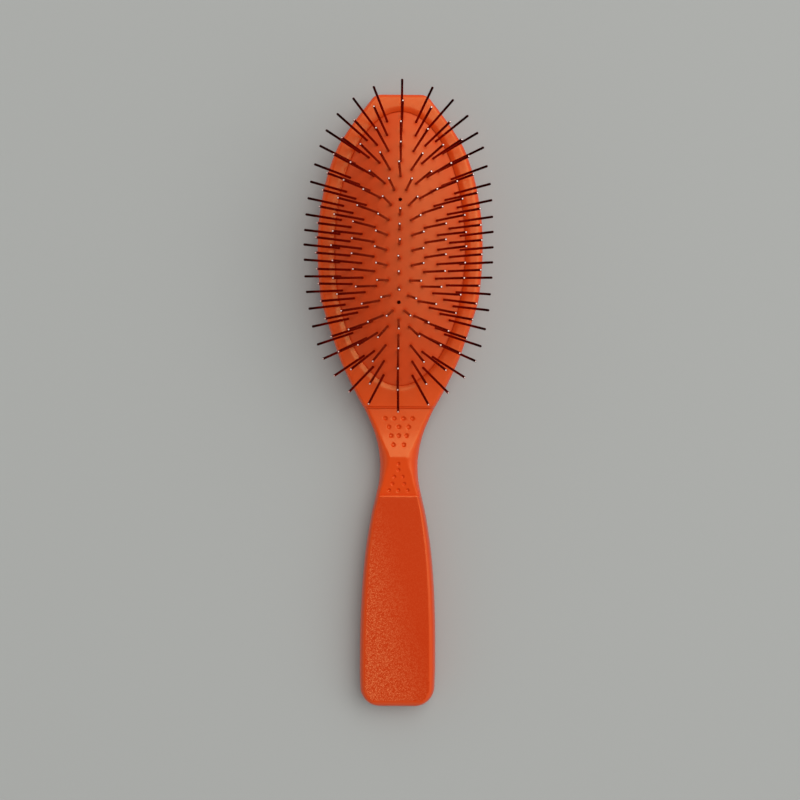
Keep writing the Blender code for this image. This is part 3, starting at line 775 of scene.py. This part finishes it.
# %% Height of the rubber round its pins
DRAW_IN_DEPTH = 0.26 * MM
DRAW_IN_RADIUS = 0.8 * MM
CELL = 4.0 * MM

pins_by_cell = {}
for across, along in pin_places:
    cell = (int(across // CELL), int(along // CELL))
    for step_x in (-1, 0, 1):
        for step_y in (-1, 0, 1):
            pins_by_cell.setdefault((cell[0] + step_x, cell[1] + step_y), []).append((across, along))


def rubber_height(across, along):
    """Height of the dome, drawn in round the nearest pins."""
    height = dome_height(across, along)
    for pin in pins_by_cell.get((int(across // CELL), int(along // CELL)), ()):
        distance = math.hypot(across - pin[0], along - pin[1])
        height -= DRAW_IN_DEPTH * math.exp(-(distance / DRAW_IN_RADIUS) ** 2)
    return height


print("rubber round the middle pins dips by", round(DRAW_IN_DEPTH / MM, 2), "mm")

# %% [markdown]
# The cushion is made from rings of points round its crown, from the top down. The rings go over
# the edge into the groove, where the rubber is held, and back under the dome, so that the mesh
# is closed and as thick as the rubber.

# %% Make the rubber cushion
CUSHION_RINGS = 110
CUSHION_POINTS = 300
CUSHION_SHARP_ANGLE = 50
EDGE_CLEARANCE = 0.03 * MM
UNDERSIDE_SHARES = (0.94, 0.85, 0.7, 0.5, 0.3, 0.1)


def underside_height(across, along):
    """Height of the dome's underside."""
    return dome_height(across, along) - RUBBER_THICKNESS


def rubber_ring(wide, long, height_at):
    """An oval ring of vertices, from its half axes and a function that gives the height."""
    ring = []
    for index in range(CUSHION_POINTS):
        turn = 2 * math.pi * index / CUSHION_POINTS
        across, along = wide * math.cos(turn), long * math.sin(turn)
        ring.append(cushion_bm.verts.new((across, HEAD_Y + along, height_at(across, along))))
    return ring


cushion_bm = bmesh.new()
top_rings = []
for number in range(1, CUSHION_RINGS + 1):
    share = number / CUSHION_RINGS
    top_rings.append(rubber_ring(share * (OPENING_WIDTH / 2 - EDGE_CLEARANCE),
                                 share * (OPENING_LENGTH / 2 - EDGE_CLEARANCE), rubber_height))
crown = cushion_bm.verts.new((0.0, HEAD_Y, rubber_height(0.0, 0.0)))
for index in range(CUSHION_POINTS):
    after = (index + 1) % CUSHION_POINTS
    cushion_bm.faces.new((crown, top_rings[0][index], top_rings[0][after]))
for inner, outer in zip(top_rings, top_rings[1:]):
    bridge(cushion_bm, inner, outer)
edge = top_rings[-1]
for grow, height in ((-EDGE_CLEARANCE, RUBBER_EDGE_HEIGHT),
                     (GROOVE_DEPTH - FIT_GAP, RUBBER_EDGE_HEIGHT),
                     (GROOVE_DEPTH - FIT_GAP, RUBBER_EDGE_HEIGHT - RUBBER_THICKNESS)):
    ring = [cushion_bm.verts.new(point) for point in oval(grow, height, CUSHION_POINTS)]
    bridge(cushion_bm, edge, ring)
    edge = ring
for share in UNDERSIDE_SHARES:
    ring = rubber_ring(share * OPENING_WIDTH / 2, share * OPENING_LENGTH / 2, underside_height)
    bridge(cushion_bm, edge, ring)
    edge = ring
cushion_bm.faces.new(edge)
cushion = to_object("cushion", cushion_bm, CUSHION_SHARP_ANGLE)
print("cushion rings above the edge:", len(top_rings))

# %% [markdown]
# Two small vents on the middle line let air in and out when the cushion is pressed. They are
# cut through the rubber with a cutter that widens at the surface, because a moulded hole has a
# soft lip. Its profile is given as pairs of height and width.

# %% Cut the vents
VENT_RADIUS = 0.6 * MM
VENT_POINTS = 24
VENT_PROFILE = ((-3.0 * MM, 1.0), (-0.25 * MM, 1.0), (0.0, 1.25), (0.5 * MM, 1.9))

vent_places = [turned(0.0, (end_share - ROW_SHIFT_SHARES[0]) * OPENING_LENGTH / 2)
               for end_share in (ROW_END_SHARES[0], -ROW_END_SHARES[0])]
vent_bm = bmesh.new()
for across, along in vent_places:
    rings = []
    for height, wide_share in VENT_PROFILE:
        level = dome_height(across, along) + height
        turns = [2 * math.pi * index / VENT_POINTS for index in range(VENT_POINTS)]
        rings.append([(across + wide_share * VENT_RADIUS * math.cos(turn),
                       HEAD_Y + along + wide_share * VENT_RADIUS * math.sin(turn), level)
                      for turn in turns])
    skin(vent_bm, rings)
apply_cuts(cushion, [to_object("vent_cutter", vent_bm)])
shade(cushion.data, CUSHION_SHARP_ANGLE)
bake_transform(cushion)
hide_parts("rubber_cushion")
print("cushion faces:", len(cushion.data.polygons))

# %% [markdown]
# ## The pins
# Each pin is a straight steel wire with a round tip, so that it doesn't scratch. Its flat head
# sits under the rubber. The round tip is a quarter of an ellipse that stops just short of the
# axis, so that a tiny flat closes it.

# %% Profile of a pin
PIN_RADIUS = 0.45 * MM
PIN_LENGTH = 23.0 * MM
PIN_HEAD_RADIUS = 0.95 * MM
PIN_HEAD_THICKNESS = 0.3 * MM
TIP_LENGTH = 0.3 * MM
TIP_STEPS = 6
TIP_STOP = 0.4


def pin_profile():
    """(radius, distance above the rubber) along a pin, from its flat head to its tip."""
    head_top = -(RUBBER_THICKNESS + FIT_GAP)
    profile = [(PIN_HEAD_RADIUS, head_top - PIN_HEAD_THICKNESS), (PIN_HEAD_RADIUS, head_top),
               (PIN_RADIUS, head_top), (PIN_RADIUS, PIN_LENGTH - TIP_LENGTH)]
    for index in range(1, TIP_STEPS + 1):
        turn = math.pi / 2 * index / (TIP_STEPS + TIP_STOP)
        profile.append((PIN_RADIUS * math.cos(turn),
                        PIN_LENGTH - TIP_LENGTH * (1 - math.sin(turn))))
    return profile


print("pin profile has", len(pin_profile()), "rings")

# %% [markdown]
# A pin is skinned from rings along its own direction, and the pins of a column are one mesh,
# because they lean together. The last faces of a tip that shows a highlight get a second
# finish, a pale steel that is a painted highlight. The tips along the sides and the far end,
# where no highlight shows, keep the dark wire as painted shade.

# %% Make the pins
PIN_SIDES = 14
PIN_SHARP_ANGLE = 50
BRIGHT_STEPS = 2
HIGHLIGHT_TIP = 1
DARK_FACES = (len(pin_profile()) - 1 - BRIGHT_STEPS) * PIN_SIDES


def add_pin(bm, place, direction, highlit):
    """Skin one pin along its own direction."""
    base = Vector((place[0], HEAD_Y + place[1], dome_height(*place)))
    across = Vector((0.0, 1.0, 0.0)).cross(direction).normalized()
    along = direction.cross(across)
    rings = []
    for radius, reach in pin_profile():
        ring = []
        for index in range(PIN_SIDES):
            turn = 2 * math.pi * index / PIN_SIDES
            ring.append(base + reach * direction
                        + radius * (math.cos(turn) * across + math.sin(turn) * along))
        rings.append(ring)
    faces_before = len(bm.faces)
    skin(bm, rings)
    bm.faces.ensure_lookup_table()
    for face in bm.faces[faces_before + DARK_FACES:] if highlit else ():
        face.material_index = HIGHLIGHT_TIP


pin_pieces = []
for number, column in enumerate(pin_columns, start=1):
    pins_bm = bmesh.new()
    for rank, (place, direction) in enumerate(column, start=1):
        # Outermost tips keep the dark wire as painted shade; the others get the painted highlight.
        outermost = number in (1, len(pin_columns)) or rank == 1
        add_pin(pins_bm, place, direction, highlit=not outermost)
    pins = to_object(f"pins_{number:02d}", pins_bm, PIN_SHARP_ANGLE)
    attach(pins, f"pin_column_{number:02d}")
    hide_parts(*[f"pin_strip_{number:02d}_{part}" for part in range(1, 5)])
    pin_pieces.append(pins)
print("pin pieces:", len(pin_pieces))

# %% [markdown]
# ## Finishes
# Each finish starts from the same short recipe, a Principled shader with its colour, roughness
# and refraction. Constants stay on the shader's own sockets, and patterns are added by nodes
# in real millimetres. The lamps are white. A warm tint on the gloss of the plastics stands in
# for warmer light, and keeps the orange of their lit faces deep.

# %% Material helpers
GLOSS_COLOUR = "#FFEC9C"
GRAIN_ROUGHNESS = 0.6


def new_material(name, hex_colour, roughness, metallic=0.0, ior=1.5, specular=0.5):
    """A Principled material, its node tree and its shader."""
    material = bpy.data.materials.new(name)
    material.use_nodes = True
    shader = material.node_tree.nodes["Principled BSDF"]
    shader.inputs["Base Color"].default_value = linear(hex_colour)
    shader.inputs["Roughness"].default_value = roughness
    shader.inputs["Metallic"].default_value = metallic
    shader.inputs["IOR"].default_value = ior
    shader.inputs["Specular IOR Level"].default_value = specular
    if not metallic:
        shader.inputs["Specular Tint"].default_value = linear(GLOSS_COLOUR)
    return material, material.node_tree, shader


def object_place(tree):
    """Place of a shaded point on its own piece, in metres."""
    return add_node(tree, "ShaderNodeTexCoord").outputs["Object"]


def add_grain(tree, width, depth, strength=1.0, detail=3.0, normal=None):
    """Bump from noise whose grains are as wide as asked; returns the noise and the bump node."""
    noise = add_node(tree, "ShaderNodeTexNoise", {},
                     {"Scale": 1 / (2 * width), "Detail": detail, "Roughness": GRAIN_ROUGHNESS},
                     {"Vector": object_place(tree)})
    links = {"Height": noise.outputs["Fac"]}
    if normal:
        links["Normal"] = normal
    bump = add_node(tree, "ShaderNodeBump", {}, {"Distance": depth, "Strength": strength}, links)
    return noise, bump


def add_tint(tree, factor, low_hex, high_hex):
    """Base colour that goes from one hex colour to another as a factor goes from 0 to 1."""
    tint = add_node(tree, "ShaderNodeMix", {"data_type": "RGBA"},
                    {"A": linear(low_hex), "B": linear(high_hex)}, {"Factor": factor})
    tree.links.new(tint.outputs["Result"], tree.nodes["Principled BSDF"].inputs["Base Color"])


# %% [markdown]
# The moulding is ABS straight from the mould, evenly coloured. Neck and head come from a
# smooth part of the mould and have a soft gloss, with only a faint waviness where the plastic
# shrank as it cooled. That gloss is what lights up the hollow under the thumb.

# %% Smooth moulded ABS
ABS_IOR = 1.53
smooth_abs, tree, shader = new_material("smooth_moulded_abs", "#DA3D05", roughness=0.27,
                                        ior=ABS_IOR, specular=0.62)
waves, wave_bump = add_grain(tree, width=1.6 * MM, depth=0.05 * MM, strength=0.10, detail=2.0)
_, skin_bump = add_grain(tree, width=0.20 * MM, depth=0.03 * MM, strength=0.22,
                         normal=wave_bump.outputs[0])
tree.links.new(skin_bump.outputs[0], shader.inputs["Normal"])
add_tint(tree, waves.outputs["Fac"], "#D73B04", "#DD3F06")
print("finish:", smooth_abs.name)

# %% [markdown]
# The mould of the grip's two faces was spark-eroded. That leaves a fine pebble grain, a fifth
# of a millimetre wide, which scatters the gloss, so they look duller and deeper in colour; their
# colour is painted a little deeper than the head's, as painted shade for that duller gloss. The
# grain's bump is strong at the left and towards the butt, and faint elsewhere. How strong it is
# grows with the distance in that direction. The same zone carries a painted highlight: pale
# flecks, one to a cell of a Voronoi pattern, that stand in for the sparkle of the gloss. Real
# glints are finer, and these are as coarse as they need to be to show.

# %% Spark-grained ABS
# The grip's colour is painted a little deeper than the head's, as painted shade for its duller
# gloss; the pale colour is a painted highlight for glints.
GRIP_COLOUR, PAINTED_GLINT_COLOUR = "#C12F04", "#DC6F3F"
PEBBLE_WIDTH, PEBBLE_DEPTH = 0.22 * MM, 0.05 * MM
GLINT_WIDTH = 0.27 * MM
GLINT_LEAST_LOT = 0.40
GRAIN_AND_GLINT_WAY = (-0.965, -0.26, 0.0)
GRAIN_AND_GLINT_START, GRAIN_AND_GLINT_FULL = 12 * MM, 33 * MM
LEAST_GRAIN_AND_GLINT = 0.10

grained_abs, tree, shader = new_material("spark_grained_abs", GRIP_COLOUR, roughness=0.50,
                                         ior=ABS_IOR, specular=0.25)
place = object_place(tree)
# One zone, at the left and towards the butt, sets both the grain's bump and the painted glints.
grain_and_glint_reach = add_node(tree, "ShaderNodeVectorMath", {"operation": "DOT_PRODUCT"},
                       {1: GRAIN_AND_GLINT_WAY}, {0: place})
grain_and_glint_zone = add_node(tree, "ShaderNodeMapRange", {"interpolation_type": "SMOOTHSTEP"},
                 {"From Min": GRAIN_AND_GLINT_START, "From Max": GRAIN_AND_GLINT_FULL, "To Min": LEAST_GRAIN_AND_GLINT},
                 {"Value": grain_and_glint_reach.outputs["Value"]})
_, pebble_bump = add_grain(tree, PEBBLE_WIDTH, PEBBLE_DEPTH)
tree.links.new(grain_and_glint_zone.outputs[0], pebble_bump.inputs["Strength"])
tree.links.new(pebble_bump.outputs[0], shader.inputs["Normal"])
# Painted highlight: pale flecks in the colour stand in for glints of the gloss.
glint_cells = add_node(tree, "ShaderNodeTexVoronoi", {}, {"Scale": 1 / GLINT_WIDTH}, {"Vector": place})
lots = add_node(tree, "ShaderNodeSeparateXYZ", {}, {}, {0: glint_cells.outputs["Color"]})
peaks = add_node(tree, "ShaderNodeMapRange", {}, {"From Min": GLINT_LEAST_LOT},
                 {"Value": lots.outputs["X"]})
painted_glints = add_node(tree, "ShaderNodeMath", {"operation": "MULTIPLY"}, {},
                   {0: peaks.outputs[0], 1: grain_and_glint_zone.outputs[0]})
add_tint(tree, painted_glints.outputs[0], GRIP_COLOUR, PAINTED_GLINT_COLOUR)
print("finish:", grained_abs.name)

# %% [markdown]
# The rounded edges between the grip's faces look nearly smooth, as if rubbed by hands, and catch
# the light, so they have a finish of their own: the same grain, but faint.

# %% Worn edges of the grip
edge_abs, tree, shader = new_material("worn_abs_edge", "#CF3805", roughness=0.30,
                                      ior=ABS_IOR, specular=0.62)
worn_grain, worn_bump = add_grain(tree, PEBBLE_WIDTH, PEBBLE_DEPTH, strength=0.15)
tree.links.new(worn_bump.outputs[0], shader.inputs["Normal"])
add_tint(tree, worn_grain.outputs["Fac"], "#CC3604", "#D23A06")
print("finish:", edge_abs.name)

# %% [markdown]
# Each face of the moulding takes one of the three finishes, by its place and by the way that it
# looks. The grain ends where the bevel at the end of the grip begins.

# %% Give the moulding its finishes
GRAIN_LEAST_UP = 0.97
SMOOTH, GRAINED, WORN = range(3)

moulding.data.materials.clear()
for finish in (smooth_abs, grained_abs, edge_abs):
    moulding.data.materials.append(finish)
grain_end = BUTT_Y + BEVEL_START
for polygon in moulding.data.polygons:
    if polygon.center.y >= grain_end:
        polygon.material_index = SMOOTH
    else:
        polygon.material_index = GRAINED if abs(polygon.normal.z) > GRAIN_LEAST_UP else WORN
print("grain ends at y", round(grain_end / MM, 1), "mm")

# %% [markdown]
# The rubber is the same orange, but softer and duller: moulded natural rubber has a matt,
# slightly powdery skin. A higher roughness spreads its gloss into a wide soft sheen, and a
# faint cloudiness comes from the way that it flowed in the mould.

# %% Moulded rubber
RUBBER_IOR = 1.52
rubber, tree, shader = new_material("moulded_rubber", "#DA3A08", roughness=0.50,
                                    ior=RUBBER_IOR, specular=0.74)
cloud, cloud_bump = add_grain(tree, width=4.0 * MM, depth=0.05 * MM, strength=0.06, detail=2.0)
_, powder_bump = add_grain(tree, width=0.25 * MM, depth=0.03 * MM, strength=0.35,
                           normal=cloud_bump.outputs[0])
tree.links.new(powder_bump.outputs[0], shader.inputs["Normal"])
add_tint(tree, cloud.outputs["Fac"], "#D53806", "#DE3C0A")
cushion.data.materials.clear()
cushion.data.materials.append(rubber)
print("finish:", rubber.name)

# %% [markdown]
# The pins are drawn steel wire with a dark finish, smooth enough to mirror what is around it.
# They look dark red over the brush, and nearly black past the head's edge. Mirroring gives only
# a part of that here, so a painted reflection does the rest: the wire's colour is dark red, a
# painted reflection of the orange brush, inside an oval as large as the head, and nearly black
# outside it. Marks from drawing the wire vary its gloss.

# %% Dark steel wire
# Painted reflection: the dark red stands in for the orange brush mirrored in the wire.
PAINTED_REFLECTION_COLOUR, PAST_HEAD_COLOUR = "#80160A", "#300C0A"
OVAL_HALF_WIDTH = 30.5 * MM
OVAL_HALF_LENGTH = 63.0 * MM
OVAL_SHIFT = 6.0 * MM
REFLECTION_FADE_START, REFLECTION_FADE_FULL = 0.93, 1.04
DRAW_MARK_WIDTH = 0.6 * MM
LEAST_WIRE_ROUGHNESS, MOST_WIRE_ROUGHNESS = 0.18, 0.32

steel, tree, shader = new_material("dark_steel_wire", PAINTED_REFLECTION_COLOUR, roughness=0.26,
                                   metallic=1.0)
place = object_place(tree)
draw_marks = add_node(tree, "ShaderNodeTexNoise", {}, {"Scale": 1 / DRAW_MARK_WIDTH, "Detail": 3.0},
                      {"Vector": place})
wire_gloss = add_node(tree, "ShaderNodeMapRange", {},
                      {"To Min": LEAST_WIRE_ROUGHNESS, "To Max": MOST_WIRE_ROUGHNESS},
                      {"Value": draw_marks.outputs["Fac"]})
tree.links.new(wire_gloss.outputs[0], shader.inputs["Roughness"])
from_middle = add_node(tree, "ShaderNodeMapping", {}, {
    "Location": (0.0, (OVAL_SHIFT - HEAD_Y) / OVAL_HALF_LENGTH, 0.0),
    "Scale": (1 / OVAL_HALF_WIDTH, 1 / OVAL_HALF_LENGTH, 0.0)}, {"Vector": place})
reach = add_node(tree, "ShaderNodeVectorMath", {"operation": "LENGTH"}, {},
                 {0: from_middle.outputs["Vector"]})
# The painted reflection fades to near black past an oval as large as the head.
reflection_fade = add_node(tree, "ShaderNodeMapRange", {"interpolation_type": "SMOOTHSTEP"},
                     {"From Min": REFLECTION_FADE_START, "From Max": REFLECTION_FADE_FULL},
                     {"Value": reach.outputs["Value"]})
add_tint(tree, reflection_fade.outputs[0], PAINTED_REFLECTION_COLOUR, PAST_HEAD_COLOUR)
print("finish:", steel.name)

# %% [markdown]
# The pale steel of the bright tips is a painted highlight, for the glint on each rounded tip.
# The tips are only a few pixels wide in the render, so a fairly high roughness lets each catch
# the light of a window, whichever way it leans.

# %% Tips with a painted highlight
highlight_tip_steel, _, _ = new_material("steel_tip_painted_highlight", "#FFE6DC", roughness=0.55, metallic=1.0)
for pins in pin_pieces:
    tips = [polygon.material_index for polygon in pins.data.polygons]
    pins.data.materials.clear()
    pins.data.materials.append(steel)
    pins.data.materials.append(highlight_tip_steel)
    pins.data.polygons.foreach_set("material_index", tips)
print("finish:", highlight_tip_steel.name)
